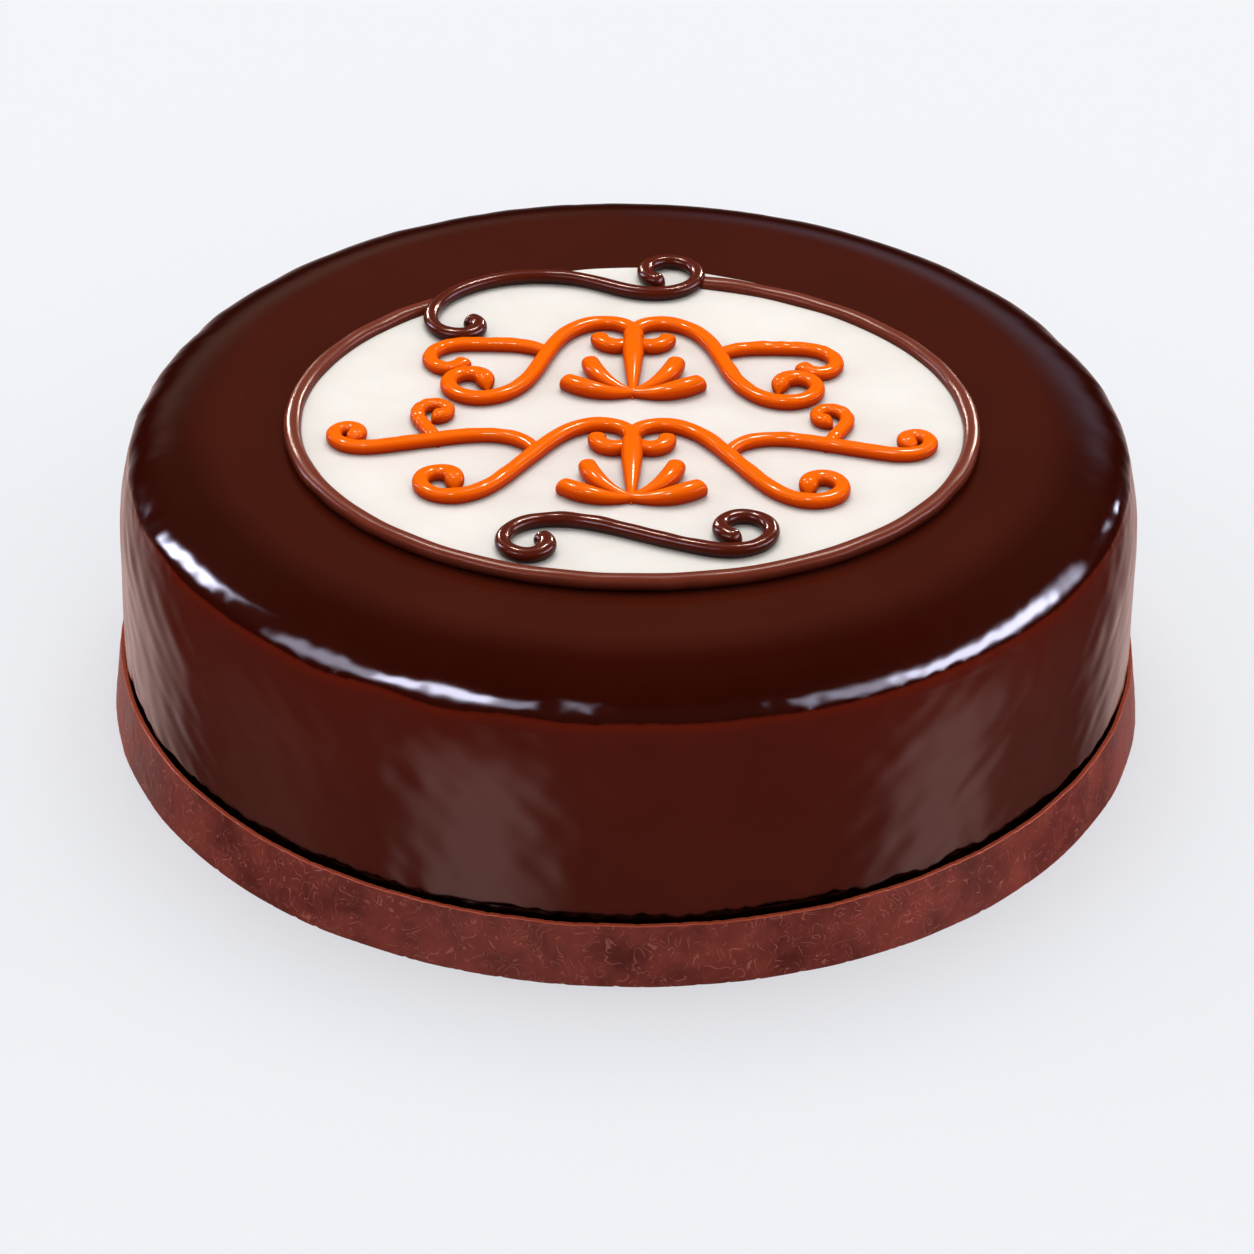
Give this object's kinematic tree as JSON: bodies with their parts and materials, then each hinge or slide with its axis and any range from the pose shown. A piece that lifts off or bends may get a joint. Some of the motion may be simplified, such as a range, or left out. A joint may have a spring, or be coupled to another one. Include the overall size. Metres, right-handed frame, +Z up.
{
  "type": "sachertorte cake",
  "caption": "Round chocolate torte under smooth dark glaze, with a thin chocolate band round its foot and an oval white plaque edged and decorated with piped icing.",
  "frame": {"origin": "centre of the cake's base, on the surface it stands on", "axes": "+Z up, -Y towards the front of the plaque, +X to the right as seen from the front"},
  "size_m": [0.22, 0.22, 0.074],
  "materials": {
    "glaze": "poured dark chocolate glaze, mirror smooth on top and gently wavy on the side",
    "band_chocolate": "thin sheet of set chocolate, satin, with a fine embossed leafy relief",
    "white_icing": "rolled white icing, matte and very slightly uneven",
    "piped_chocolate": "piped milk chocolate, satin gloss",
    "orange_icing": "piped orange icing, satin gloss"
  },
  "bodies": {
    "root": {"cake_body": "glaze", "base_band": "band_chocolate", "plaque": "white_icing", "plaque_border": "piped_chocolate", "scroll_back": "piped_chocolate", "scroll_front": "piped_chocolate", "icing_back": "orange_icing", "icing_front": "orange_icing"}
  },
  "joints": []
}
